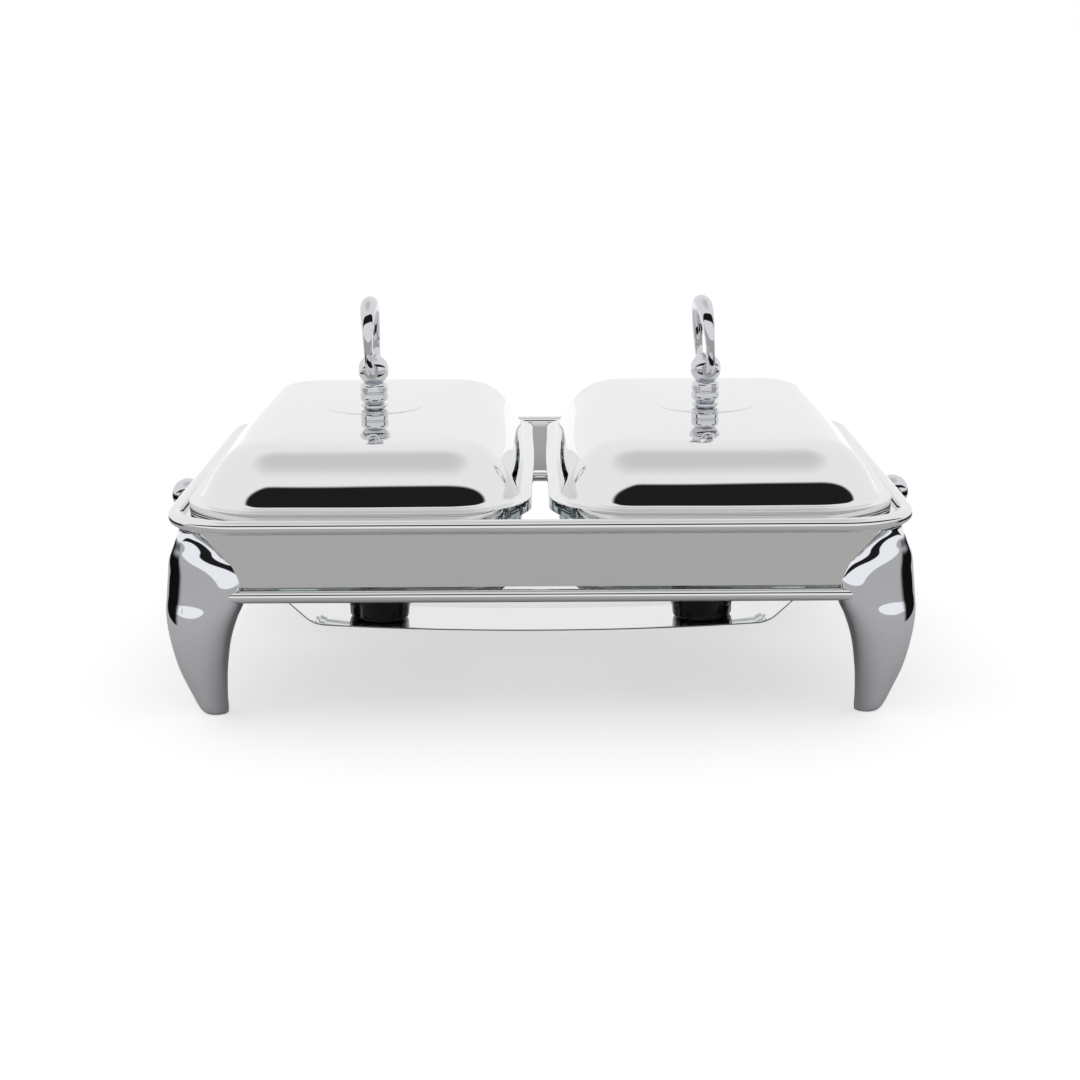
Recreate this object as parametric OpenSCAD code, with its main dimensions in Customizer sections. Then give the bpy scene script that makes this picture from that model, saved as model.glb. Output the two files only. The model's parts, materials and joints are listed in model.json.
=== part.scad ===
// Chafing dish food warmer: a mirror-finished frame that carries two covered glass dishes over a candle tray.
// X runs along the front, Y to the back and Z up. The origin is on the table, under the middle of the frame.

/* [Frame] */
// Length of the frame between the centre lines of its rim bead
frame_len = 422; // [390:1:460]
// Depth of the frame between the centre lines of its rim bead
frame_dep = 320; // [290:1:350]
// Corner radius of the rim bead's centre line
frame_r = 40; // [37:0.5:44]
// Height of the rim bead's centre above the table
rim_z = 115; // [110:1:130]
// Diameter of the rolled rim bead
bead_d = 8.4; // [7.4:0.1:9.4]
// Thickness of the band's sheet
band_t = 1.2; // [0.8:0.1:1.6]
// Depth of the band, from the bead's centre to its lower edge
band_h = 35; // [32:0.5:36]
// How far the band's outer face stands back from the bead's centre line
band_inset = 1.4; // [1:0.1:2]
// Diameter of the tie rods
rod_d = 7.3; // [6:0.1:8]
// Gap between the band's lower edge and the tie rods
rod_gap = 1.3; // [1.2:0.1:3]
// How far a tie rod reaches into a leg
rod_seat = 9; // [6:0.5:12]

/* [Legs] */
// Width of a leg's shoulder, seen from the front
leg_w = 49; // [44:0.5:52]
// Width of a leg's foot, seen from the front
foot_w = 15.2; // [13:0.5:20]
// How far below the rim each leg's screw sits
leg_screw_drop = 20; // [18:0.5:24]
// Diameter of the screws that hold the legs and the side knobs
screw_d = 4; // [3:0.5:4.5]
// Diameter of the screw heads
screw_head_d = 8; // [6.5:0.5:9]
// Height of the screw heads
screw_head_h = 2.4; // [1.6:0.1:3]

/* [Dishes] */
// Thickness of the glass
glass_t = 4.5; // [3.5:0.1:6]
// Height of the dish, from its base to its rim
dish_h = 57; // [50:1:60]
// Height of the thick rim of the glass
dish_rim_h = 6.6; // [5.4:0.1:7.4]
// How far the rim of the glass stands out over its wall
dish_rim_w = 3.4; // [2.6:0.1:4.4]
// How far the wall draws in between the rim and the base
dish_draft = 5; // [3:0.5:8]
// Radius between the wall and the base of the dish
dish_fillet = 15; // [11:1:20]

/* [Lids] */
// Gap between the two lids
lid_gap = 7.2; // [5:0.1:12]
// Thickness of the lid's sheet
lid_t = 0.8; // [0.6:0.1:1.2]
// Corner radius of the lid's skirt
lid_r = 48; // [44:1:52]
// Height of the lid from its flange to the seat of its knob
lid_rise = 34.3; // [28:0.1:38]
// Height of the crown between the shoulder and the knob
lid_crown = 1.5; // [1.2:0.1:2.4]
// Width of the flat flange between the skirt and the dome
flange_w = 4.5; // [4:0.5:7]
// Width of the round shoulder between the foot of the dome and its top
shoulder_w = 34; // [28:0.5:38]
// How far the foot of the dome's wall leans in from upright
wall_lean = 28; // [15:1:32]
// How fast the corner radius shrinks towards the top of the dome
corner_shrink = 0.85; // [0.3:0.05:0.9]
// How far the long sides of a lid bow out
side_bow = 1.2; // [0:0.1:2]
// How far the short sides of a lid bow out
end_bow = 0.8; // [0:0.1:1.5]
// Depth of the skirt below the flange
skirt_h = 6.3; // [4.5:0.1:6.6]
// Radius of the round seat pressed into the lid under its knob
seat_r = 30; // [24:1:36]
// How far the knob's seat stands up from the crown
seat_h = 0.4; // [0.3:0.1:1]

/* [Knobs and rings] */
// Diameter of the ball on a lid's knob
ball_d = 19.4; // [17:0.2:21]
// Diameter of the balls on the sides of the frame
side_ball_d = 20.8; // [18:0.2:21.6]
// Height of the ball's centre over the lid
ball_rise = 22.7; // [22:0.1:28]
// Diameter of the double bead under the ball
collar_d = 17.4; // [15:0.2:19]
// Diameter of the knob's foot on the lid
foot_d = 16.6; // [14:0.2:19]
// Height of a ring from the ball's centre to its outer end
ring_h = 46.4; // [42:0.2:52]
// Width of a ring between its limbs' centre lines
ring_w = 34; // [30:0.5:40]
// Diameter of the ring at its outer end
ring_d = 10.6; // [9:0.1:12]
// Diameter of the ring where it meets the ball
ring_end_d = 5.4; // [4.6:0.1:6.4]
// Diameter of the pins by which a ring sits in its ball
pin_d = 3.4; // [2.6:0.1:4]
// How far the side knobs' balls stand off the band
side_stand = 5.5; // [4.5:0.1:8]
// Height of the side knobs' balls below the rim bead
side_drop = 16; // [15:0.5:18]
// How far the left and right lids' rings are turned round their knobs
ring_turn = [-3, 8]; // [-20:1:20]
// How far the left and right lids' rings lean to one side
ring_lean = [-2, -4]; // [-5:1:5]

/* [Burners] */
// Width of the burner tray
tray_w = 50; // [46:1:70]
// Thickness of the burner tray
tray_t = 0.8; // [0.6:0.1:1.1]
// Height of the tray's flat above the table
tray_z = 14.7; // [10:0.2:20]
// Length of the tray between its bends
tray_len = 276; // [270:1:290]
// How far the middle of the tray sags below its bends
tray_sag = 4.2; // [0:0.2:6]
// Radius of the bends
tray_bend = 20; // [10:1:24]
// How far each hook runs on round its rod, below the rod's middle
hook_wrap = 20; // [0:5:40]
// Diameter of the burner cups
cup_d = 41.8; // [40:0.2:46]
// Height of the burner cups
cup_h = 16; // [13:0.5:20]
// Wall thickness of the burner cups
cup_t = 1; // [0.8:0.1:1.4]
// How much narrower the burner cups are at the base
cup_taper = 3.6; // [0:0.2:5]

/* [Clearances] */
// Gap between the lid's skirt and the rim bead
rim_gap = 0.8; // [0.6:0.1:1.5]
// Gap between the rim of the glass and the lid's skirt
skirt_gap = 1; // [0.8:0.1:1.6]
// Gap between the wall of the glass and the ledge that carries it
ledge_gap = 0.8; // [0.6:0.1:1.2]
// Gap under a piece that lifts off
seat_gap = 0.2; // [0.1:0.05:0.3]
// Radial gap round pins, rod ends and screws
fit_gap = 0.05; // [0.03:0.01:0.1]
// Radial gap between the tray's hooks and the side rods
hook_gap = 0.1; // [0.05:0.01:0.12]

/* [Hidden] */
$fn = 64;
mirror_steel = [0.82, 0.83, 0.85];
plated_zinc = [0.72, 0.74, 0.8];
clear_glass = [0.75, 0.88, 0.9, 0.5];
dark_metal = [0.14, 0.13, 0.14];
white_silicone = [0.92, 0.92, 0.9];

// Places that several parts share
corner_x = frame_len / 2 - frame_r;
corner_y = frame_dep / 2 - frame_r;
band_r = frame_r - band_inset;
band_low = rim_z - band_h;
rod_z = band_low - rod_gap - rod_d / 2;

// Ledge inside the rim, on which the glass stands
ledge_drop = 1;
ledge_top = rim_z - ledge_drop;
ledge_t = 1.2;

// Lids: size over the skirt, and centre of each
lid_half_x = (frame_len - bead_d - 2 * rim_gap - lid_gap) / 4;
lid_half_y = (frame_dep - bead_d - 2 * rim_gap) / 2;
lid_x = (lid_gap + 2 * lid_half_x) / 2;
lid_in_x = lid_half_x - side_bow - lid_t;
lid_in_y = lid_half_y - end_bow - lid_t;

// Dishes: rim, wall, heights
dish_rim_x = lid_in_x - skirt_gap;
dish_rim_y = lid_in_y - skirt_gap;
dish_rim_r = lid_r - lid_t - skirt_gap;
dish_core_x = dish_rim_x - dish_rim_r;
dish_core_y = dish_rim_y - dish_rim_r;
dish_wall_r = dish_rim_r - dish_rim_w;
dish_seat = ledge_top + seat_gap;
dish_top = dish_seat + dish_rim_h;
dish_base = dish_top - dish_h;
flange_low = dish_top + seat_gap;
knob_seat = flange_low + lid_t + lid_rise;
ball_z = knob_seat + ball_rise;

// Side knobs
side_ball_x = frame_len / 2 - band_inset + side_stand + side_ball_d / 2;
side_ball_z = rim_z - side_drop;

// Points of an arc round [x, y], from angle a to angle b in n steps
function arc(x, y, r, a, b, n = 6) = [for (i = [0 : n]) let (turn = a + (b - a) * i / n)
    [x + r * cos(turn), y + r * sin(turn)]];

// Point of a curve from a to d, drawn towards b and c
function bezier(a, b, c, d, t) = a * pow(1 - t, 3) + 3 * b * t * pow(1 - t, 2)
    + 3 * c * t * t * (1 - t) + d * pow(t, 3);

// Smooth value between rows of a table, where column 0 is the key
function row_at(t, k) = k >= len(t) - 1 ? t[len(t) - 1] : t[max(k, 0)];
function spline(p0, p1, p2, p3, u) = 0.5 * (2 * p1 + (p2 - p0) * u + (2 * p0 - 5 * p1 + 4 * p2 - p3) * u * u
    + (3 * p1 - p0 - 3 * p2 + p3) * u * u * u);
function blend_rows(t, s) = let (k = min(floor(s), len(t) - 2), u = s - k)
    spline(row_at(t, k - 1), row_at(t, k), row_at(t, k + 1), row_at(t, k + 2), u);

// Faces of a closed loft: m rings of n points, with flat end caps
function loft_faces(m, n) = concat(
    [[for (i = [0 : n - 1]) i]],
    [for (j = [0 : m - 2], i = [0 : n - 1]) let (a = j * n + i, b = j * n + (i + 1) % n) [b + n, b, a]],
    [for (j = [0 : m - 2], i = [0 : n - 1]) let (a = j * n + i, b = j * n + (i + 1) % n) [a + n, b + n, a]],
    [[for (i = [n - 1 : -1 : 0]) (m - 1) * n + i]]);

// Solid through rings of points that run counter-clockwise, each ring above the one before
module loft(rings) {
    polyhedron(points = [for (r = rings, p = r) p], faces = loft_faces(len(rings), len(rings[0])), convexity = 8);
}

// ---------------------------------------------------------------- frame

// Sweeps a profile, drawn at its distance from the corner's centre, round the frame
module round_frame(half_x, half_y) {
    for (k = [0 : 3]) {
        across = k % 2 == 0 ? half_x : half_y;
        along = k % 2 == 0 ? half_y : half_x;
        rotate([0, 0, 90 * k]) translate([across, along, 0]) {
            rotate([90, 0, 0]) linear_extrude(2 * along) children();
            rotate_extrude(angle = 90) children();
        }
    }
}

// Plate with round corners, from its half sizes
module round_plate(half_x, half_y, r) {
    square([2 * half_x, 2 * (half_y - r)], center = true);
    square([2 * (half_x - r), 2 * half_y], center = true);
    for (x = [-1, 1], y = [-1, 1]) translate([x * (half_x - r), y * (half_y - r)]) circle(r);
}

module band_profile() {
    translate([frame_r, rim_z]) circle(d = bead_d);
    translate([band_r - band_t, band_low]) square([band_t, band_h]);
}

// Ledge that carries the glass, open in the middle for both dishes
module ledge() {
    mid_r = band_r - band_t / 2;
    translate([0, 0, ledge_top - ledge_t]) linear_extrude(ledge_t) difference() {
        round_plate(frame_len / 2 - frame_r + mid_r, frame_dep / 2 - frame_r + mid_r, mid_r);
        round_plate(lid_x + dish_core_x + dish_wall_r + ledge_gap, dish_core_y + dish_wall_r + ledge_gap,
            dish_wall_r + ledge_gap);
    }
}

module frame_band() {
    color(mirror_steel) difference() {
        union() {
            round_frame(corner_x, corner_y) band_profile();
            ledge();
        }
        corners() leg_screw_axis() cylinder(d = screw_d + 2 * fit_gap, h = frame_r, $fn = 32);
        for (s = [-1, 1]) translate([s * (frame_len / 2 - frame_r / 2), 0, side_ball_z]) rotate([0, s * 90, 0])
            cylinder(d = screw_d + 2 * fit_gap, h = frame_r, $fn = 32);
    }
}

// Rod from leg to leg: half is the run of straight frame beside it
module tie_rod(half) {
    color(mirror_steel) rotate([0, 90, 0]) cylinder(d = rod_d, h = 2 * (half + rod_seat), center = true);
}

module rod_front() { translate([0, -frame_dep / 2, rod_z]) tie_rod(corner_x); }
module rod_back() { translate([0, frame_dep / 2, rod_z]) tie_rod(corner_x); }
module rod_left() { translate([-frame_len / 2, 0, rod_z]) rotate([0, 0, 90]) tie_rod(corner_y); }
module rod_right() { translate([frame_len / 2, 0, rod_z]) rotate([0, 0, 90]) tie_rod(corner_y); }

// ---------------------------------------------------------------- legs

// Rows of the leg: height as a share of the way to its top, offset of its centre from the frame's corner centre
// along X and Y alike, half of its width seen from the front, and its thickness as a share of its breadth
leg_top = rim_z - bead_d / 2 - 0.6;
leg_rows = [
    [0, 18.6, 0.46 * foot_w, 0.88],
    [0.025, 19.6, 0.56 * foot_w, 0.86],
    [0.11, 21.5, 0.7 * foot_w, 0.83],
    [0.26, 24.1, 0.96 * foot_w, 0.78],
    [0.42, 24.9, 0.374 * leg_w, 0.72],
    [0.54, 23.8, 0.437 * leg_w, 0.68],
    [0.64, 21.2, 0.488 * leg_w, 0.65],
    [0.745, 20.2, 0.488 * leg_w, 0.66],
    [0.84, 20.6, 0.445 * leg_w, 0.72],
    [0.91, 21.8, 0.353 * leg_w, 0.8],
    [0.965, 24.2, 0.245 * leg_w, 0.84],
    [1, 26.3, 0.142 * leg_w, 0.86]];
leg_steps = 22;
leg_sides = 26;

// One level of the leg: an ellipse whose long axis runs across the frame's corner
function leg_ring(row) = let (breadth = row[2] * sqrt(2 / (1 + row[3] * row[3])), thick = breadth * row[3])
    [for (i = [0 : leg_sides - 1]) let (
            a = 360 * i / leg_sides,
            u = row[1] * sqrt(2) + thick * cos(a),
            v = breadth * sin(a))
        [(u - v) / sqrt(2), (u + v) / sqrt(2), row[0] * leg_top]];

// Room inside the frame's corner, out to a distance from the corner's centre
module corner_room(r, low, high) {
    translate([0, 0, low]) cylinder(r = r, h = high - low, $fn = 96);
    translate([-frame_r, -frame_r, low]) cube([frame_r, frame_r + r, high - low]);
    translate([-frame_r, -frame_r, low]) cube([frame_r + r, frame_r, high - low]);
}

// Axis of a leg's screw, out of the frame's corner centre
module leg_screw_axis() {
    translate([corner_x, corner_y, rim_z - leg_screw_drop]) rotate([0, 0, 45]) rotate([0, 90, 0]) children();
}

// Leg at the frame's back right corner, cut away for the band, the rods and the glass
module leg() {
    glass_room = 6;
    color(plated_zinc) difference() {
        translate([corner_x, corner_y, 0])
            loft([for (j = [0 : leg_steps])
                leg_ring(blend_rows(leg_rows, (len(leg_rows) - 1) * j / leg_steps))]);
        translate([corner_x, corner_y, 0]) {
            corner_room(band_r + fit_gap, band_low, rim_z + bead_d);
            corner_room(frame_r - glass_room, dish_base - 4, band_low + 1);
        }
        translate([corner_x - frame_r, frame_dep / 2, rod_z]) rotate([0, 90, 0])
            cylinder(d = rod_d + 2 * fit_gap, h = frame_r + rod_seat);
        translate([frame_len / 2, corner_y - frame_r, rod_z]) rotate([-90, 0, 0])
            cylinder(d = rod_d + 2 * fit_gap, h = frame_r + rod_seat);
        leg_screw_axis() cylinder(d = screw_d + 2 * fit_gap, h = band_r + screw_bite, $fn = 32);
    }
}

// Copies for the frame's four corners, made from the one at the back right
module corners() {
    for (x = [0, 1], y = [0, 1]) mirror([x, 0, 0]) mirror([0, y, 0]) children();
}

module leg_back_right() { leg(); }
module leg_back_left() { mirror([1, 0, 0]) leg(); }
module leg_front_right() { mirror([0, 1, 0]) leg(); }
module leg_front_left() { mirror([1, 0, 0]) mirror([0, 1, 0]) leg(); }

// Pan-headed screw along +Z: its head ends where its shank starts
screw_bite = 6;
module pan_screw(shank, d = screw_d, head_d = screw_head_d, head_h = screw_head_h) {
    cylinder(d = d, h = shank, $fn = 32);
    difference() {
        translate([0, 0, -head_h]) rotate_extrude($fn = 48)
            polygon(concat(
                [[0, 0]],
                arc(head_d / 2 - head_h / 2, head_h / 2, head_h / 2, -90, 0, 4),
                [[head_d / 2, head_h], [0, head_h]]));
        translate([-head_d, -0.6, -head_h - 1]) cube([2 * head_d, 1.2, 1.9]);
    }
}

module leg_screws() {
    seat = sqrt(pow(band_r - band_t, 2) - pow(screw_head_d / 2, 2)) - fit_gap;
    color(mirror_steel) corners() leg_screw_axis() translate([0, 0, seat])
        pan_screw(band_r - seat + screw_bite - 0.6);
}

// ---------------------------------------------------------------- knobs and rings

// Half of a ring's centre line, from the ball's side to its outer end, as [across, out]
ring_start = 11.2;
ring_steps = 9;
ring_sides = 12;
function ring_point(t, start) = let (top = ring_h - ring_d / 2, side = (ring_w / 2 * 8 - start) / 6)
    bezier([start, 0], [side, 0], [side, top * 1.02], [0, top], t);
function ring_radius(t) = let (rise = ring_point(t, ring_start)[1] / (ring_h - ring_d / 2))
    (ring_end_d + (ring_d - ring_end_d) * pow(rise, 2.2)) / 2;

// Rings of points round the whole of a ring, from one pin to the other, in the YZ plane
function ring_loops(start) = [for (k = [-ring_steps : ring_steps]) let (
        t = 1 - abs(k) / ring_steps,
        side = k < 0 ? -1 : 1,
        here = ring_point(t, start),
        ahead = ring_point(min(t + 0.01, 1), start),
        behind = ring_point(max(t - 0.01, 0), start),
        run = k == 0 ? [-1, 0] : (t < 0.001 ? [1, 0] : (ahead - behind) / norm(ahead - behind)),
        out = k == 0 ? [0, 1] : (t < 0.001 ? [0, -1] : [run[1], -run[0]]),
        r = ring_radius(t))
    [for (i = [0 : ring_sides - 1]) let (a = 360 * i / ring_sides)
        [r * sin(a), side * (here[0] + r * cos(a) * out[0]), here[1] + r * cos(a) * out[1]]]];

// Ring with its two pins, standing over the ball's centre
module ring(start, pin_len) {
    loft(ring_loops(start));
    for (s = [-1, 1]) translate([0, s * (start + 2), 0]) rotate([s * 90, 0, 0])
        cylinder(d = pin_d, h = pin_len + 2, $fn = 32);
}

// Ball with a short collar round each end of its cross bore
module ringed_ball(d, face) {
    difference() {
        union() {
            sphere(d = d, $fn = 96);
            rotate([90, 0, 0]) cylinder(d = ring_end_d + 3.6, h = 2 * face, center = true, $fn = 48);
        }
        rotate([90, 0, 0]) cylinder(d = pin_d + 2 * fit_gap, h = 2 * face + 2, center = true, $fn = 32);
    }
}

knob_bore_d = 5;
knob_bore_h = 13;
lid_ball_face = ball_d / 2 + 0.9;
side_ball_face = side_ball_d / 2 + 0.5;
ring_play = 0.3;
pin_len = 5;

// Turned post of a lid's knob: foot, double bead with a groove, and neck
module knob_post() {
    bead_r = collar_d / 2;
    groove_r = bead_r - 0.6;
    neck_r = ball_d * 0.3;
    low = 2.4;
    high = ball_rise - ball_d * 0.4;
    middle = (low + high) / 2;
    round_r = bead_r - neck_r;
    rotate_extrude($fn = 96) polygon(concat(
        [[0, 0], [foot_d / 2, 0], [foot_d / 2, 0.5], [neck_r, low]],
        arc(neck_r, low + round_r, round_r, -90, 0, 7),
        [[bead_r, middle - 0.8], [groove_r, middle - 0.3], [groove_r, middle + 0.3], [bead_r, middle + 0.8]],
        arc(neck_r, high - round_r, round_r, 0, 90, 7),
        [[neck_r, ball_rise], [0, ball_rise]]));
}

module lid_knob(turn) {
    color(plated_zinc) translate([0, 0, knob_seat]) rotate([0, 0, turn]) difference() {
        union() {
            knob_post();
            translate([0, 0, ball_rise]) ringed_ball(ball_d, lid_ball_face);
        }
        translate([0, 0, -1]) cylinder(d = knob_bore_d + 2 * fit_gap, h = knob_bore_h + 1, $fn = 32);
        translate([0, 0, ball_rise]) rotate([90, 0, 0])
            cylinder(d = pin_d + 2 * fit_gap, h = 2 * lid_ball_face + 2, center = true, $fn = 32);
    }
}

module lid_ring(turn, lean) {
    color(plated_zinc) translate([0, 0, ball_z]) rotate([0, lean, turn]) ring(lid_ball_face, pin_len);
}

// Knob on the frame's right side: ball, cross bore and stem
module side_knob() {
    stem = side_stand + side_ball_d / 2;
    color(plated_zinc) translate([side_ball_x, 0, side_ball_z]) difference() {
        union() {
            ringed_ball(side_ball_d, side_ball_face);
            translate([-stem, 0, 0]) rotate([0, 90, 0]) cylinder(d = screw_head_d, h = stem, $fn = 48);
            translate([-stem, 0, 0]) rotate([0, 90, 0]) cylinder(d = screw_head_d + 3, h = 1.2, $fn = 48);
        }
        rotate([90, 0, 0])
            cylinder(d = pin_d + 2 * fit_gap, h = 2 * side_ball_face + 2, center = true, $fn = 32);
        translate([-stem - 1, 0, 0]) rotate([0, 90, 0])
            cylinder(d = screw_d + 2 * fit_gap, h = 1 + screw_bite, $fn = 32);
    }
}

module side_ring() {
    color(plated_zinc) translate([side_ball_x, 0, side_ball_z]) rotate([180, 0, 0])
        ring(side_ball_face + ring_play, pin_len);
}

module side_knob_right() { side_knob(); }
module side_knob_left() { mirror([1, 0, 0]) side_knob(); }
module side_ring_right() { side_ring(); }
module side_ring_left() { mirror([1, 0, 0]) side_ring(); }
module side_knob_screws() {
    color(mirror_steel) for (s = [0, 1]) mirror([s, 0, 0])
        translate([frame_len / 2 - band_inset - band_t, 0, side_ball_z]) rotate([0, 90, 0])
            pan_screw(band_t + screw_bite - 0.4);
}

// ---------------------------------------------------------------- dishes

// Section of the glass, from the centre of its corner outwards
module glass_profile() {
    base_r = dish_wall_r - dish_draft;
    in_r = dish_wall_r - glass_t;
    in_base_r = base_r - glass_t;
    soft = 1.4;
    in_fillet = dish_fillet - glass_t;
    polygon(concat(
        [[0, dish_base]],
        arc(base_r - dish_fillet, dish_base + dish_fillet, dish_fillet, -90, 0),
        [[dish_wall_r, dish_seat]],
        arc(dish_rim_r - soft, dish_seat + soft, soft, -90, 0, 3),
        arc(dish_rim_r - soft, dish_top - soft, soft, 0, 90, 3),
        arc(in_r + soft, dish_top - soft, soft, 90, 180, 3),
        arc(in_base_r - in_fillet, dish_base + glass_t + in_fillet, in_fillet, 0, -90),
        [[0, dish_base + glass_t]]));
}

module dish() {
    color(clear_glass) {
        round_frame(dish_core_x, dish_core_y) glass_profile();
        translate([-dish_core_x, -dish_core_y, dish_base]) cube([2 * dish_core_x, 2 * dish_core_y, glass_t]);
    }
}

module dish_left() { translate([-lid_x, 0, 0]) dish(); }
module dish_right() { translate([lid_x, 0, 0]) dish(); }

// ---------------------------------------------------------------- lids

lid_corner_steps = 7;
lid_side_steps = 5;

// One level of a lid: a rectangle with round corners and bowed sides, drawn in by some inset.
// Below 1, share shrinks it towards the middle and lifts it by the crown, with no crease at the shoulder.
function lid_ring_points(inset, z, share = 1) = let (
        x = lid_half_x - side_bow - inset,
        y = lid_half_y - end_bow - inset,
        r = max(lid_r - inset * corner_shrink, 8))
    [for (k = [0 : 3]) let (
            across = k % 2 == 0 ? x : y,
            along = k % 2 == 0 ? y : x,
            bow = k % 2 == 0 ? side_bow : end_bow)
        for (p = concat(
                [for (i = [0 : lid_side_steps - 1]) let (s = -1 + 2 * i / lid_side_steps)
                    [across + bow * pow(cos(90 * s), 2), s * (along - r), across]],
                [for (i = [0 : lid_corner_steps - 1]) let (a = 90 * i / lid_corner_steps)
                    [across - r + r * cos(a), along - r + r * sin(a), (across - r) * cos(a) + (along - r) * sin(a) + r]]))
            let (
                c = cos(90 * k),
                d = sin(90 * k),
                rise = lid_crown * (1 - pow(share, crown_edge * p[2] / lid_crown)))
                [share * (p[0] * c - p[1] * d), share * (p[0] * d + p[1] * c), z + (share < 0.2 ? lid_crown : rise)]];

// Levels of a lid's face, from the flange to the crown, set in by the sheet's thickness: a cove at the foot
// of the dome, a leaning wall that bends over into the crown, and the crown
flange_top = flange_low + lid_t;
shoulder_top = knob_seat - seat_h - lid_crown;
cove_r = 3.5;
crown_angle = 4;
crown_edge = tan(crown_angle);
wall_grip = 0.42;
crown_grip = 0.6;
function bezier_run(a, b, c, d, t) = (b - a) * pow(1 - t, 2) + 2 * (c - b) * t * (1 - t) + (d - c) * t * t;
function lid_levels(gap) = let (
        cove = [flange_w, flange_top + cove_r],
        foot = cove + cove_r * [cos(wall_lean), -sin(wall_lean)],
        head = [foot[0] + shoulder_w, shoulder_top],
        near_foot = foot + wall_grip * (head[1] - foot[1]) * [sin(wall_lean), cos(wall_lean)],
        near_head = head - crown_grip * shoulder_w * [cos(crown_angle), sin(crown_angle)])
    concat(
        [for (i = [0 : 2]) let (a = -90 + (90 - wall_lean) * i / 3)
            [cove[0] + (cove_r + gap) * cos(a), cove[1] + (cove_r + gap) * sin(a), 1]],
        [for (i = [0 : 8]) let (
                t = i / 8,
                p = bezier(foot, near_foot, near_head, head, t),
                run = bezier_run(foot, near_foot, near_head, head, t),
                out = [run[1], -run[0]] / norm(run))
            [p[0] + gap * out[0], p[1] + gap * out[1], 1]],
        [for (share = [0.9, 0.7, 0.42, 0.15]) [head[0] + gap * crown_edge, head[1] - gap, share]]);

module lid_shell() {
    skirt_low = flange_low - skirt_h;
    outer = concat([[0, skirt_low, 1], [0, flange_top - 0.5, 1], [0.5, flange_top, 1]], lid_levels(0));
    inner = concat([[lid_t, skirt_low - 1, 1], [lid_t, flange_low, 1]], lid_levels(lid_t));
    difference() {
        loft([for (l = outer) lid_ring_points(l[0], l[1], l[2])]);
        loft([for (l = inner) lid_ring_points(l[0], l[1], l[2])]);
    }
}

module lid() {
    color(mirror_steel) difference() {
        union() {
            lid_shell();
            translate([0, 0, knob_seat - seat_h - lid_t / 2]) cylinder(r = seat_r, h = seat_h + lid_t / 2, $fn = 96);
        }
        translate([0, 0, shoulder_top - lid_rise / 2])
            cylinder(d = knob_bore_d + 2 * fit_gap, h = lid_rise, $fn = 32);
    }
}

module lid_left() { translate([-lid_x, 0, 0]) lid(); }
module lid_right() { translate([lid_x, 0, 0]) lid(); }
module lid_knob_left() { translate([-lid_x, 0, 0]) lid_knob(ring_turn[0]); }
module lid_knob_right() { translate([lid_x, 0, 0]) lid_knob(ring_turn[1]); }
module lid_ring_left() { translate([-lid_x, 0, 0]) lid_ring(ring_turn[0], ring_lean[0]); }
module lid_ring_right() { translate([lid_x, 0, 0]) lid_ring(ring_turn[1], ring_lean[1]); }

// Washer and screw inside the lid, under the knob
washer_d = 16;
washer_t = 1.5;
lid_inside = knob_seat - seat_h - lid_t - fit_gap;
module lid_washer() {
    color(white_silicone) translate([0, 0, lid_inside - washer_t]) difference() {
        cylinder(d = washer_d, h = washer_t, $fn = 48);
        translate([0, 0, -1]) cylinder(d = knob_bore_d + 2 * fit_gap, h = washer_t + 2, $fn = 32);
    }
}

module lid_screw() {
    color(mirror_steel) translate([0, 0, lid_inside - washer_t])
        pan_screw(washer_t + lid_t + seat_h + knob_bore_h - 1, knob_bore_d, 10, 3);
}

module lid_washer_left() { translate([-lid_x, 0, 0]) lid_washer(); }
module lid_washer_right() { translate([lid_x, 0, 0]) lid_washer(); }
module lid_screw_left() { translate([-lid_x, 0, 0]) lid_screw(); }
module lid_screw_right() { translate([lid_x, 0, 0]) lid_screw(); }

// ---------------------------------------------------------------- burners

// Right half of the tray's centre line, seen from the front, set off to one side by a distance:
// half the sagging strip, a bend, a slope and a hook over the side rod
hook_r = rod_d / 2 + hook_gap;
function tray_rise(x) = tray_sag * pow(2 * x / tray_len, 2);
function tray_tilt(x) = atan(8 * tray_sag * x / pow(tray_len, 2));
function tray_line(off) = let (
        bend_r = tray_bend - tray_t / 2,
        round_r = hook_r + tray_t / 2,
        low = tray_z - tray_t / 2,
        start = tray_tilt(tray_len / 2),
        bend_at = [tray_len / 2 - bend_r * sin(start), low + tray_sag + bend_r * cos(start)],
        rod_at = [frame_len / 2, rod_z],
        span = norm(rod_at - bend_at),
        slope = atan2(rod_at[1] - bend_at[1], rod_at[0] - bend_at[0]) + asin((bend_r + round_r) / span))
    concat(
        [for (i = [0 : 11]) let (x = tray_len / 2 * i / 12, a = tray_tilt(x))
            [x - off * sin(a), low + tray_rise(x) + off * cos(a)]],
        arc(bend_at[0], bend_at[1], bend_r - off, start - 90, slope - 90, 6),
        arc(rod_at[0], rod_at[1], round_r + off, slope + 90, -hook_wrap, 22));

module burner_tray() {
    over = tray_line(tray_t / 2);
    under = tray_line(-tray_t / 2);
    n = len(over);
    color(mirror_steel) translate([0, tray_w / 2, 0]) rotate([90, 0, 0]) linear_extrude(tray_w) polygon(concat(
        [for (i = [n - 1 : -1 : 1]) [-over[i][0], over[i][1]]],
        over,
        [for (i = [n - 1 : -1 : 0]) under[i]],
        [for (i = [1 : n - 1]) [-under[i][0], under[i][1]]]));
}

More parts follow.
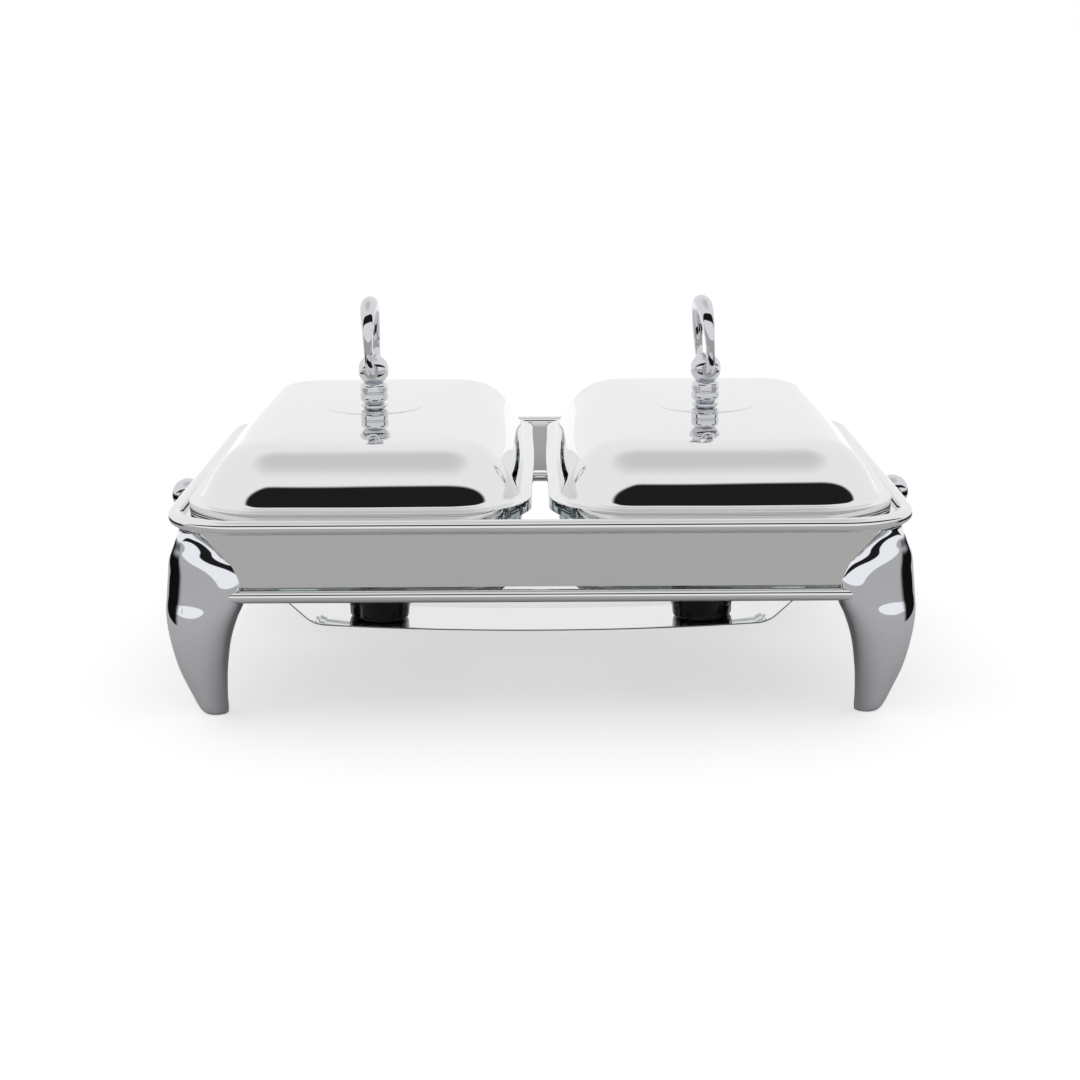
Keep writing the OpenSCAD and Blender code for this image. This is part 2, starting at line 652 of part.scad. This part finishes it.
module burner_cup() {
    r = cup_d / 2;
    base_r = r - cup_taper / 2;
    soft = 3;
    lip = 0.9;
    color(dark_metal) rotate_extrude($fn = 96) polygon(concat(
        [[0, 0]],
        arc(base_r - soft, soft, soft, -90, 0),
        [[r - lip, cup_h - 2 * lip]],
        arc(r - lip, cup_h - lip, lip, -90, 90),
        [[r - 2 * lip, cup_h]],
        arc(base_r - soft, soft, soft - cup_t, 0, -90),
        [[0, cup_t]]));
}

// Cup on the sagging tray, square to the tray where it stands
module placed_cup() {
    translate([lid_x, 0, tray_z + tray_rise(lid_x)]) rotate([0, -tray_tilt(lid_x), 0])
        translate([0, 0, seat_gap]) burner_cup();
}

module burner_cup_left() { mirror([1, 0, 0]) placed_cup(); }
module burner_cup_right() { placed_cup(); }

frame_band();
rod_front();
rod_back();
rod_left();
rod_right();
leg_front_left();
leg_front_right();
leg_back_left();
leg_back_right();
leg_screws();
side_knob_left();
side_knob_right();
side_knob_screws();
side_ring_left();
side_ring_right();
dish_left();
dish_right();
lid_left();
lid_right();
lid_knob_left();
lid_knob_right();
lid_ring_left();
lid_ring_right();
lid_screw_left();
lid_screw_right();
lid_washer_left();
lid_washer_right();
burner_tray();
burner_cup_left();
burner_cup_right();
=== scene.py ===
"""Looks of the food warmer: mirror steel, plated castings, glass and black cups on a white table."""

import json
from math import cos, hypot, pi, radians, sin, tan

import bmesh
import bpy
from mathutils import Matrix, Vector


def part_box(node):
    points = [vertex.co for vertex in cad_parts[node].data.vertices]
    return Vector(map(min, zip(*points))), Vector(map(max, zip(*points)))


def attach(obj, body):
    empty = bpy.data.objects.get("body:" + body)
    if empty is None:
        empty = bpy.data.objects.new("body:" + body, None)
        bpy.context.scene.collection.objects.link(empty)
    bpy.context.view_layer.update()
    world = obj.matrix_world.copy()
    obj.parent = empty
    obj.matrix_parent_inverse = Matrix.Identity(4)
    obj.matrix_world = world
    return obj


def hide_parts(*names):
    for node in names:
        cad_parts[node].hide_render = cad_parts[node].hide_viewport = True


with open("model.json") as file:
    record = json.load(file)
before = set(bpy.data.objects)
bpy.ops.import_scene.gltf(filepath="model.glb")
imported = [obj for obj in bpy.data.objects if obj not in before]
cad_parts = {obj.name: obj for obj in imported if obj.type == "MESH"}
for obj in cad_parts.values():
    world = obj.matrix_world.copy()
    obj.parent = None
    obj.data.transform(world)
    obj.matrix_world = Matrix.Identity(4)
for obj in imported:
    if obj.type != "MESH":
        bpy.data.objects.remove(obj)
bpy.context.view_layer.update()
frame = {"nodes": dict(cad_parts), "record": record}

MM = 0.001
SIDES = {"left": -1, "right": 1}

# Sizes that the high-resolution pieces share with the CAD part, in millimetres
RIM_Z = 115
BEAD_D = 8.4
FRAME_R = 40
BAND_INSET = 1.4
BAND_H = 35
LEG_W = 49
FOOT_W = 15.2
LID_T = 0.8
LID_R = 48
LID_CROWN = 1.5
FLANGE_W = 4.5
WALL_LEAN = 28
SHOULDER_W = 34
CORNER_SHRINK = 0.85
COVE_R = 3.5
CROWN_ANGLE = 4
CROWN_POWER = 2.8
WALL_GRIP = 0.42
CROWN_GRIP = 0.6
SIDE_BOW = 1.2
END_BOW = 0.8
SKIRT_H = 6.3
LIP_R = 0.5
SEAT_R = 30
SEAT_H = 0.4
SEAT_EDGE = 1.2
BALL_D = 19.4
RING_H = 46.4
RING_W = 34
RING_D = 10.6
RING_END_D = 5.4
RING_FULLNESS = 1.02
RING_GROWTH = 2.2
PIN_D = 3.4
LID_RING_START = 10.6
SIDE_RING_START = 11.2
RING_TURN = {"left": -3, "right": 8}
RING_LEAN = {"left": -2, "right": -4}


# ---------------------------------------------------------------- mesh tools

def arc(x, y, r, start, end, n):
    """Points of an arc round (x, y), from angle start to end in degrees."""
    turns = [radians(start + (end - start) * i / n) for i in range(n + 1)]
    return [(x + r * cos(a), y + r * sin(a)) for a in turns]


def bezier(a, b, c, d, t):
    return a * (1 - t) ** 3 + 3 * b * t * (1 - t) ** 2 + 3 * c * t * t * (1 - t) + d * t ** 3


def spline(rows, s):
    """Catmull-Rom value at s, where whole numbers are the rows."""
    k = min(int(s), len(rows) - 2)
    u = s - k
    p0, p1, p2, p3 = (rows[min(max(k + j, 0), len(rows) - 1)] for j in (-1, 0, 1, 2))
    return [
        0.5 * (2 * b + (c - a) * u + (2 * a - 5 * b + 4 * c - d) * u * u
               + (3 * b - a - 3 * c + d) * u ** 3)
        for a, b, c, d in zip(p0, p1, p2, p3)
    ]


def plain_object(name, verts, faces):
    """A mesh object from points in millimetres, with its faces turned outwards."""
    mesh = bpy.data.meshes.new(name)
    mesh.from_pydata([Vector(v) * MM for v in verts], [], faces)
    mesh.validate()
    bm = bmesh.new()
    bm.from_mesh(mesh)
    bmesh.ops.recalc_face_normals(bm, faces=bm.faces)
    bm.to_mesh(mesh)
    bm.free()
    obj = bpy.data.objects.new(name, mesh)
    bpy.context.collection.objects.link(obj)
    return obj


def new_object(name, verts, faces, body, material, replaced=(), sharp=35):
    """A smooth-shaded piece of the warmer, riding a body."""
    obj = plain_object(name, verts, faces)
    obj.data.shade_smooth()
    obj.data.set_sharp_from_angle(angle=radians(sharp))
    obj.data.materials.append(material)
    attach(obj, body)
    if replaced:
        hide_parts(*replaced)
    return obj


def loft(rings, closed=False, caps=True):
    """Points and faces of a surface through rings of equal length."""
    n = len(rings[0])
    m = len(rings)
    verts = [p for ring in rings for p in ring]
    faces = []
    for j in range(m if closed else m - 1):
        for i in range(n):
            a, b = j * n + i, j * n + (i + 1) % n
            c, d = (j + 1) % m * n + (i + 1) % n, (j + 1) % m * n + i
            faces.append((a, b, c, d))
    if caps and not closed:
        faces.append(tuple(reversed(range(n))))
        faces.append(tuple(range((m - 1) * n, m * n)))
    return verts, faces


def merge(*parts):
    """Joins several (points, faces) pairs into one."""
    verts, faces = [], []
    for v, f in parts:
        base = len(verts)
        verts += v
        faces += [tuple(i + base for i in face) for face in f]
    return verts, faces


# ---------------------------------------------------------------- materials

def shader(name, **values):
    """A material with a Principled shader: the material, its node tree and the shader."""
    mat = bpy.data.materials.new(name)
    mat.use_nodes = True
    bsdf = mat.node_tree.nodes["Principled BSDF"]
    for key, value in values.items():
        bsdf.inputs[key.replace("_", " ")].default_value = value
    return mat, mat.node_tree, bsdf


def noise(tree, scale, detail=3.0, roughness=0.5):
    coord = tree.nodes.new("ShaderNodeTexCoord")
    tex = tree.nodes.new("ShaderNodeTexNoise")
    tex.inputs["Scale"].default_value = scale
    tex.inputs["Detail"].default_value = detail
    tex.inputs["Roughness"].default_value = roughness
    tree.links.new(coord.outputs["Object"], tex.inputs["Vector"])
    return tex


def remap(tree, source, low, high, start=0.35, end=0.65):
    node = tree.nodes.new("ShaderNodeMapRange")
    node.inputs["From Min"].default_value = start
    node.inputs["From Max"].default_value = end
    node.inputs["To Min"].default_value = low
    node.inputs["To Max"].default_value = high
    tree.links.new(source, node.inputs["Value"])
    return node.outputs["Result"]


def bump(tree, source, strength, distance):
    node = tree.nodes.new("ShaderNodeBump")
    node.inputs["Strength"].default_value = strength
    node.inputs["Distance"].default_value = distance
    tree.links.new(source, node.inputs["Height"])
    return node.outputs["Normal"]


def mirror_metal(name, color, rough_low, rough_high, wave_scale, wave):
    """Bright metal: faint waviness of the sheet or casting, and patches that are a little less polished."""
    mat, tree, bsdf = shader(name, Base_Color=(*color, 1), Metallic=1.0)
    patches = noise(tree, 22, 4)
    tree.links.new(remap(tree, patches.outputs["Fac"], rough_low, rough_high), bsdf.inputs["Roughness"])
    waves = noise(tree, wave_scale, 1)
    tree.links.new(bump(tree, waves.outputs["Fac"], 1.0, wave), bsdf.inputs["Normal"])
    return mat


def glass():
    mat, tree, bsdf = shader("clear_glass", Base_Color=(0.93, 0.985, 1.0, 1), Transmission_Weight=1.0, IOR=1.5)
    patches = noise(tree, 40, 2)
    tree.links.new(remap(tree, patches.outputs["Fac"], 0.0, 0.03), bsdf.inputs["Roughness"])
    tree.links.new(bump(tree, noise(tree, 30, 1).outputs["Fac"], 1.0, 0.0004), bsdf.inputs["Normal"])
    return mat


def black_enamel():
    mat, tree, bsdf = shader("dark_metal", Base_Color=(0.012, 0.010, 0.012, 1), Metallic=0.0, Coat_Weight=0.6)
    patches = noise(tree, 60, 4)
    tree.links.new(remap(tree, patches.outputs["Fac"], 0.08, 0.2), bsdf.inputs["Roughness"])
    return mat


def silicone():
    mat, tree, bsdf = shader("white_silicone", Base_Color=(0.82, 0.82, 0.8, 1))
    patches = noise(tree, 200, 4)
    tree.links.new(remap(tree, patches.outputs["Fac"], 0.45, 0.6), bsdf.inputs["Roughness"])
    return mat


STEEL = mirror_metal("mirror_steel", (0.79, 0.795, 0.795), 0.012, 0.035, 9, 0.00008)
# The plated castings come in two copies of one plated finish: the legs' copy is lighter and bluer, a painted
# reflection of the pale table, and the copy for the knobs and rings is darker, painted shade for their dark
# reflections
LIT_PLATING = mirror_metal("plated_zinc", (0.80, 0.82, 0.86), 0.015, 0.045, 28, 0.00006)
SHADED_PLATING = mirror_metal("plated_zinc_shaded_copy", (0.66, 0.67, 0.70), 0.015, 0.045, 28, 0.00006)
GLASS = glass()
BLACK = black_enamel()
SILICONE = silicone()

LOOKS = {"mirror_steel": STEEL, "plated_zinc": LIT_PLATING, "clear_glass": GLASS, "dark_metal": BLACK,
         "white_silicone": SILICONE}
for entry in frame["record"]["subparts"]:
    node = frame["nodes"][entry["node"]]
    node.data.materials.clear()
    knob = "_knob_" in entry["node"] and "screws" not in entry["node"]
    # Knobs take the darker copy of the plated finish: painted shade for their dark reflections
    node.data.materials.append(SHADED_PLATING if knob else LOOKS[entry["material_slot"]])


# ---------------------------------------------------------------- lids

def middle(node):
    low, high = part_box(node)
    return [(low[k] + high[k]) / 2 / MM for k in range(3)]


lid_low, lid_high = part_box("lid_left")
lid_half_x = (lid_high[0] - lid_low[0]) / 2 / MM
lid_half_y = (lid_high[1] - lid_low[1]) / 2 / MM
skirt_low = lid_low[2] / MM
knob_seat = lid_high[2] / MM
flange_low = skirt_low + SKIRT_H
flange_top = flange_low + LID_T
shoulder_top = knob_seat - SEAT_H - LID_CROWN
crown_edge = tan(radians(CROWN_ANGLE))


def lid_ring(inset, z, share, corner_steps=28, side_steps=28):
    """One level of a lid: a rectangle with round corners and bowed sides, drawn in by an inset.

    Below 1, share shrinks it towards the middle, rounds it into an oval and lifts it by the crown, with no
    crease at the shoulder.
    """
    half = [lid_half_x - SIDE_BOW - inset, lid_half_y - END_BOW - inset]
    r = max(LID_R - inset * CORNER_SHRINK, 8)
    oval = 1 - share * share * (3 - 2 * share)
    points = []
    for k in range(4):
        across, along = half[k % 2], half[1 - k % 2]
        bow = (SIDE_BOW, END_BOW)[k % 2]
        side = [-1 + 2 * i / side_steps for i in range(side_steps)]
        run = [(across + bow * cos(pi / 2 * s) ** 2, s * (along - r), across) for s in side]
        near, far = across - r, along - r
        for i in range(corner_steps):
            a = pi / 2 * i / corner_steps
            run.append((near + r * cos(a), far + r * sin(a), near * cos(a) + far * sin(a) + r))
        c, d = ((1, 0), (0, 1), (-1, 0), (0, -1))[k]
        for x, y, reach in run:
            power = CROWN_POWER + (crown_edge * reach / LID_CROWN - CROWN_POWER) * share ** 4
            rise = LID_CROWN * (1 - share ** power)
            pull = share * (1 + oval * (1 / hypot(x / across, y / along) - 1))
            points.append((pull * (x * c - y * d), pull * (x * d + y * c), z + rise))
    return points


def lid_levels(gap):
    """Levels of a lid's face, set in by the sheet's thickness: the cove, the leaning wall, and the crown."""
    lean = radians(WALL_LEAN)
    cove = (FLANGE_W, flange_top + COVE_R)
    foot = (cove[0] + COVE_R * cos(lean), cove[1] - COVE_R * sin(lean))
    head = (foot[0] + SHOULDER_W, shoulder_top)
    grip = WALL_GRIP * (head[1] - foot[1])
    near_foot = (foot[0] + grip * sin(lean), foot[1] + grip * cos(lean))
    grip = CROWN_GRIP * SHOULDER_W
    near_head = (head[0] - grip * cos(radians(CROWN_ANGLE)), head[1] - grip * sin(radians(CROWN_ANGLE)))
    levels = [(x, y, 1) for x, y in arc(*cove, COVE_R + gap, -90, -WALL_LEAN, 10)[:-1]]
    steps = 36
    for i in range(steps + 1):
        t = i / steps
        here, run = [], []
        for a, b, c, d in zip(foot, near_foot, near_head, head):
            here.append(bezier(a, b, c, d, t))
            run.append((b - a) * (1 - t) ** 2 + 2 * (c - b) * t * (1 - t) + (d - c) * t * t)
        size = hypot(*run)
        levels.append((here[0] + gap * run[1] / size, here[1] - gap * run[0] / size, 1))
    levels += [(head[0] + gap * crown_edge, head[1] - gap, 1 - i / 30) for i in range(1, 30)]
    return levels


def lid_mesh(cx):
    """A lid's pressed sheet with the raised seat of its knob."""
    outer = [(0, skirt_low, 1), (0, flange_top - LIP_R, 1)]
    outer += [(LIP_R - x, y, 1) for x, y in arc(0, flange_top - LIP_R, LIP_R, 0, 90, 5)[1:]]
    outer += lid_levels(0)
    inner = [(LID_T, skirt_low, 1), (LID_T, flange_low, 1)] + lid_levels(LID_T)
    rings = [lid_ring(*level) for level in reversed(outer)] + [lid_ring(*level) for level in inner]
    profile = [(SEAT_R * k / 12, knob_seat) for k in (0.1, 3, 6, 9)]
    for a in range(0, 91, 15):
        turn = radians(a)
        profile.append((SEAT_R - SEAT_EDGE + SEAT_EDGE * sin(turn), knob_seat - SEAT_H * (1 - cos(turn))))
    profile.append((SEAT_R, knob_seat - SEAT_H - LID_T / 2))
    turns = [2 * pi * i / 96 for i in range(96)]
    disc = loft([[(r * cos(a), r * sin(a), z) for a in turns] for r, z in reversed(profile)])
    verts, faces = merge(loft(rings), disc)
    return [(x + cx, y, z) for x, y, z in verts], faces


for side in SIDES:
    name = f"lid_{side}"
    cx = middle(name)[0]
    verts, faces = lid_mesh(cx)
    lid = new_object(f"{name}_shell", verts, faces, name, STEEL, [name])


# ---------------------------------------------------------------- legs

LEG_TOP = RIM_Z - BEAD_D / 2 - 0.6
LEG_GAP = 0.05
GLASS_INSET = 6
GLASS_DEPTH = 55
LEG_ROWS = [
    [0, 18.6, 0.46 * FOOT_W, 0.88],
    [0.025, 19.6, 0.56 * FOOT_W, 0.86],
    [0.11, 21.5, 0.7 * FOOT_W, 0.83],
    [0.26, 24.1, 0.96 * FOOT_W, 0.78],
    [0.42, 24.9, 0.374 * LEG_W, 0.72],
    [0.54, 23.8, 0.437 * LEG_W, 0.68],
    [0.64, 21.2, 0.488 * LEG_W, 0.65],
    [0.745, 20.2, 0.488 * LEG_W, 0.66],
    [0.84, 20.6, 0.445 * LEG_W, 0.72],
    [0.91, 21.8, 0.353 * LEG_W, 0.8],
    [0.965, 24.2, 0.245 * LEG_W, 0.84],
    [1, 26.3, 0.142 * LEG_W, 0.86],
]


def leg_ring(height, offset, half, flat, sides=64):
    breadth = half * (2 / (1 + flat * flat)) ** 0.5
    ring = []
    for i in range(sides):
        a = 2 * pi * i / sides
        u = offset * 2 ** 0.5 + breadth * flat * cos(a)
        v = breadth * sin(a)
        ring.append(((u - v) / 2 ** 0.5, (u + v) / 2 ** 0.5, height * LEG_TOP))
    return ring


band_far_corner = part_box("frame_band")[1]
corner_x = (band_far_corner[0] / MM - BEAD_D / 2) - FRAME_R
corner_y = (band_far_corner[1] / MM - BEAD_D / 2) - FRAME_R
levels = 90
leg_rings = [leg_ring(*spline(LEG_ROWS, (len(LEG_ROWS) - 1) * j / levels)) for j in range(levels + 1)]


def corner_room(r, low, high):
    """Closed loft that fills the inside of the frame's corner, out to r from the corner's centre."""
    outline = [(r * cos(pi / 2 * i / 24), r * sin(pi / 2 * i / 24)) for i in range(25)]
    outline += [(-FRAME_R, r), (-FRAME_R, -FRAME_R), (r, -FRAME_R)]
    return loft([[(x, y, z) for x, y in outline] for z in (low, high)])


def carve(obj, cutter):
    """Takes the cutter's solid away from the object's, and removes the cutter."""
    cut = obj.modifiers.new("cut", "BOOLEAN")
    cut.object = cutter
    cut.solver = "EXACT"
    graph = bpy.context.evaluated_depsgraph_get()
    mesh = bpy.data.meshes.new_from_object(obj.evaluated_get(graph))
    obj.modifiers.clear()
    obj.data = mesh
    bpy.data.objects.remove(cutter)


band_room = corner_room(FRAME_R - BAND_INSET + LEG_GAP, RIM_Z - BAND_H, RIM_Z + BEAD_D)
glass_room = corner_room(FRAME_R - GLASS_INSET, RIM_Z - GLASS_DEPTH, RIM_Z - BAND_H + 1)
for end, sy in (("front", -1), ("back", 1)):
    for side, sx in SIDES.items():
        node = f"leg_{end}_{side}"
        pieces = []
        for verts, faces in (loft(leg_rings), band_room, glass_room):
            verts = [(sx * (x + corner_x), sy * (y + corner_y), z) for x, y, z in verts]
            pieces.append((verts, faces))
        # Legs take the lighter, bluer copy of the plated finish: a painted reflection of the pale table
        leg = new_object(f"{node}_casting", *pieces[0], "frame", LIT_PLATING, [node])
        for verts, faces in pieces[1:]:
            carve(leg, plain_object("cutter", verts, faces))
        leg.data.shade_smooth()
        leg.data.set_sharp_from_angle(angle=radians(35))


# ---------------------------------------------------------------- rings

def ring_point(t, start):
    top = RING_H - RING_D / 2
    reach = (RING_W / 2 * 8 - start) / 6
    return (bezier(start, reach, reach, 0, t), bezier(0, 0, top * RING_FULLNESS, top, t))


def ring_mesh(start, steps=40, sides=32):
    """A ring in the YZ plane over the ball's centre, thick at its outer end and thin at the ball."""
    rings = []
    for k in range(-steps, steps + 1):
        t = 1 - abs(k) / steps
        hand = -1 if k < 0 else 1
        here, ahead, behind = ring_point(t, start), ring_point(min(t + 0.005, 1), start), \
            ring_point(max(t - 0.005, 0), start)
        run = (ahead[0] - behind[0], ahead[1] - behind[1])
        size = hypot(*run)
        out = (run[1] / size, -run[0] / size)
        if k == 0:
            out = (0, 1)
        elif t < 0.001:
            out = (0, -1)
        rise = here[1] / (RING_H - RING_D / 2)
        r = (RING_END_D + (RING_D - RING_END_D) * max(rise, 0) ** RING_GROWTH) / 2
        rings.append([(r * sin(2 * pi * i / sides),
                       hand * (here[0] + r * cos(2 * pi * i / sides) * out[0]),
                       here[1] + r * cos(2 * pi * i / sides) * out[1]) for i in range(sides)])
    pins = []
    for hand in (-1, 1):
        pins.append(loft([[(PIN_D / 2 * cos(2 * pi * i / 24), hand * y, PIN_D / 2 * sin(2 * pi * i / 24))
                           for i in range(24)] for y in (start - 5, start + 2)]))
    return merge(loft(rings), *pins)


for side in SIDES:
    knob_low, knob_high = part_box(f"lid_knob_{side}")
    x, y = middle(f"lid_knob_{side}")[:2]
    upright = Matrix.Translation((x, y, knob_high[2] / MM - BALL_D / 2)) \
        @ Matrix.Rotation(radians(RING_TURN[side]), 4, "Z") @ Matrix.Rotation(radians(RING_LEAN[side]), 4, "Y")
    low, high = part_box(f"side_ring_{side}")
    x, y = middle(f"side_ring_{side}")[:2]
    hanging = Matrix.Translation((x, y, low[2] / MM + RING_H)) @ Matrix.Rotation(pi, 4, "X")
    for node, body, place, start in ((f"lid_ring_{side}", f"lid_{side}", upright, LID_RING_START),
                                     (f"side_ring_{side}", f"side_ring_{side}", hanging, SIDE_RING_START)):
        verts, faces = ring_mesh(start)
        verts = [place @ Vector(v) for v in verts]
        # Rings take the darker copy of the plated finish: painted shade for their dark reflections
        ring = new_object(f"{node}_casting", verts, faces, body, SHADED_PLATING, [node])

for node in frame["nodes"].values():
    node.data.shade_smooth()
    node.data.set_sharp_from_angle(angle=radians(30))


# ---------------------------------------------------------------- table, light and camera

class Nodes:
    """Short hand for building a node tree."""

    def __init__(self, tree):
        self.tree = tree

    def add(self, kind, **inputs):
        node = self.tree.nodes.new(kind)
        for key, value in inputs.items():
            self.feed(node.inputs[key.replace("_", " ")], value)
        return node

    def feed(self, socket, value):
        if hasattr(value, "is_output"):
            self.tree.links.new(value, socket)
        else:
            socket.default_value = value

    def math(self, operation, a, b=0.0):
        node = self.tree.nodes.new("ShaderNodeMath")
        node.operation = operation
        self.feed(node.inputs[0], a)
        self.feed(node.inputs[1], b)
        return node.outputs[0]

    def step(self, value, low, high):
        """0 below low and 1 above high, with a soft change between them."""
        node = self.tree.nodes.new("ShaderNodeMapRange")
        node.interpolation_type = "SMOOTHSTEP"
        self.feed(node.inputs["Value"], value)
        self.feed(node.inputs["From Min"], low)
        self.feed(node.inputs["From Max"], high)
        return node.outputs["Result"]


TABLE_COLOR = (0.60, 0.59, 0.585, 1)
TABLE_LIFT = 0.6
BEHIND_FROM = 0.1
BEHIND_TO = 0.45

# Table: white as seen from the camera, with the warmer's shadow; the metal sees it white only behind the warmer
table_look = bpy.data.materials.new("table_white")
table_look.use_nodes = True
table_look.node_tree.nodes.clear()
n = Nodes(table_look.node_tree)
matt = n.add("ShaderNodeBsdfDiffuse", Color=TABLE_COLOR)
lift = n.add("ShaderNodeEmission", Color=(1, 1, 1, 1))
place = n.add("ShaderNodeSeparateXYZ")
n.feed(place.inputs[0], n.add("ShaderNodeTexCoord").outputs["Object"])
path = n.add("ShaderNodeLightPath")
behind = n.math("MULTIPLY", path.outputs["Is Glossy Ray"], n.step(place.outputs["Y"], BEHIND_FROM, BEHIND_TO))
lit = n.math("ADD", path.outputs["Is Camera Ray"], behind)
n.feed(lift.inputs["Strength"], n.math("MULTIPLY", lit, TABLE_LIFT))
both = n.add("ShaderNodeAddShader")
n.feed(both.inputs[0], matt.outputs[0])
n.feed(both.inputs[1], lift.outputs[0])
n.feed(n.add("ShaderNodeOutputMaterial").inputs["Surface"], both.outputs[0])

bpy.ops.mesh.primitive_plane_add(size=12, location=(0, 0, 0))
table = bpy.context.active_object
table.name = "table"
table.data.materials.append(table_look)

PANEL_TURN = radians(10)
PANEL_LOW = radians(29.5)
PANEL_TOP = radians(50)
PANEL_SOFT = radians(1.2)
PANEL_FALL = 0.16
PANEL_TAPER = 0.037
PANEL_END = radians(92), radians(108)
PANEL_DEPTH = 0.985
TENT_LEVEL = 0.97
TOP_EDGE = 0.82, 1.0
TOP_DIP = 0.27

# World: a white tent. Metal also sees a black panel over the camera and a greyer top
world = bpy.data.worlds.new("studio")
bpy.context.scene.world = world
world.use_nodes = True
world.node_tree.nodes.clear()
n = Nodes(world.node_tree)
axes = n.add("ShaderNodeSeparateXYZ")
n.feed(axes.inputs[0], n.add("ShaderNodeTexCoord").outputs["Generated"])
x, y, z = (axes.outputs[k] for k in "XYZ")
facing = n.math("ARCTAN2", x, n.math("MULTIPLY", y, -1))
azimuth = n.math("ABSOLUTE", n.math("SUBTRACT", facing, PANEL_TURN))
spread = n.math("MULTIPLY", azimuth, azimuth)
height = n.math("ADD", n.math("ARCSINE", z), n.math("MULTIPLY", spread, PANEL_FALL))
over = n.math("ADD", height, n.math("MULTIPLY", n.math("MULTIPLY", spread, spread), PANEL_TAPER))
panel = n.math("MULTIPLY", n.step(height, PANEL_LOW - PANEL_SOFT, PANEL_LOW + PANEL_SOFT),
               n.math("SUBTRACT", 1, n.step(over, PANEL_TOP - PANEL_SOFT, PANEL_TOP + PANEL_SOFT)))
panel = n.math("MULTIPLY", panel, n.math("SUBTRACT", 1, n.step(azimuth, *PANEL_END)))
level = n.math("SUBTRACT", TENT_LEVEL, n.math("MULTIPLY", n.step(z, *TOP_EDGE), TOP_DIP))
level = n.math("MULTIPLY", level, n.math("SUBTRACT", 1, n.math("MULTIPLY", panel, PANEL_DEPTH)))
tent = n.add("ShaderNodeBackground", Color=(1, 1, 1, 1), Strength=level)
seen = n.add("ShaderNodeBackground", Color=(1, 1, 1, 1), Strength=1.0)
pick = n.add("ShaderNodeMixShader")
n.feed(pick.inputs[0], n.add("ShaderNodeLightPath").outputs["Is Camera Ray"])
n.feed(pick.inputs[1], tent.outputs[0])
n.feed(pick.inputs[2], seen.outputs[0])
n.feed(n.add("ShaderNodeOutputWorld").inputs["Surface"], pick.outputs[0])

# Black flags at both sides with soft edges, which only the metal sees
flag_look = bpy.data.materials.new("flag_black")
flag_look.use_nodes = True
flag_look.node_tree.nodes.clear()
n = Nodes(flag_look.node_tree)
FLAG_X, FLAG_LOW, FLAG_HIGH, FLAG_FRONT, FLAG_BACK = 0.45, 0.0, 0.11, -0.14, 0.3
FLAG_EDGE = 0.05
place = n.add("ShaderNodeSeparateXYZ")
n.feed(place.inputs[0], n.add("ShaderNodeTexCoord").outputs["Object"])
cover = n.math("MULTIPLY", n.step(place.outputs["Y"], FLAG_FRONT, FLAG_FRONT + FLAG_EDGE),
               n.step(place.outputs["Y"], FLAG_BACK, FLAG_BACK - 3 * FLAG_EDGE))
cover = n.math("MULTIPLY", cover, n.step(place.outputs["Z"], FLAG_HIGH, FLAG_HIGH - FLAG_EDGE))
soft = n.add("ShaderNodeMixShader")
n.feed(soft.inputs[0], cover)
n.feed(soft.inputs[1], n.add("ShaderNodeBsdfTransparent").outputs[0])
n.feed(soft.inputs[2], n.add("ShaderNodeBsdfDiffuse", Color=(0.01, 0.01, 0.01, 1)).outputs[0])
n.feed(n.add("ShaderNodeOutputMaterial").inputs["Surface"], soft.outputs[0])
for side, sx in SIDES.items():
    outline = ((FLAG_FRONT, FLAG_LOW), (FLAG_BACK, FLAG_LOW), (FLAG_BACK, FLAG_HIGH), (FLAG_FRONT, FLAG_HIGH))
    verts = [(sx * FLAG_X / MM, y / MM, z / MM) for y, z in outline]
    flag = plain_object(f"flag_{side}", verts, [(0, 1, 2, 3)])
    flag.data.materials.append(flag_look)
    flag.visible_camera = flag.visible_diffuse = flag.visible_transmission = flag.visible_shadow = False

# Camera at the photograph's viewing angle
LENS = 64.69
PITCH = 13.99
ROLL = -0.30
CAMERA_AT = (-0.0003, -1.2147, 0.3701)
camera = bpy.data.objects.new("camera", bpy.data.cameras.new("camera"))
bpy.context.collection.objects.link(camera)
camera.data.sensor_width = 36
camera.data.lens = LENS
camera.data.clip_end = 20
camera.matrix_world = Matrix.Translation(CAMERA_AT) @ Matrix.Rotation(radians(90 - PITCH), 4, "X") \
    @ Matrix.Rotation(radians(ROLL), 4, "Z")
bpy.context.scene.camera = camera
bpy.context.scene.view_settings.view_transform = "Standard"
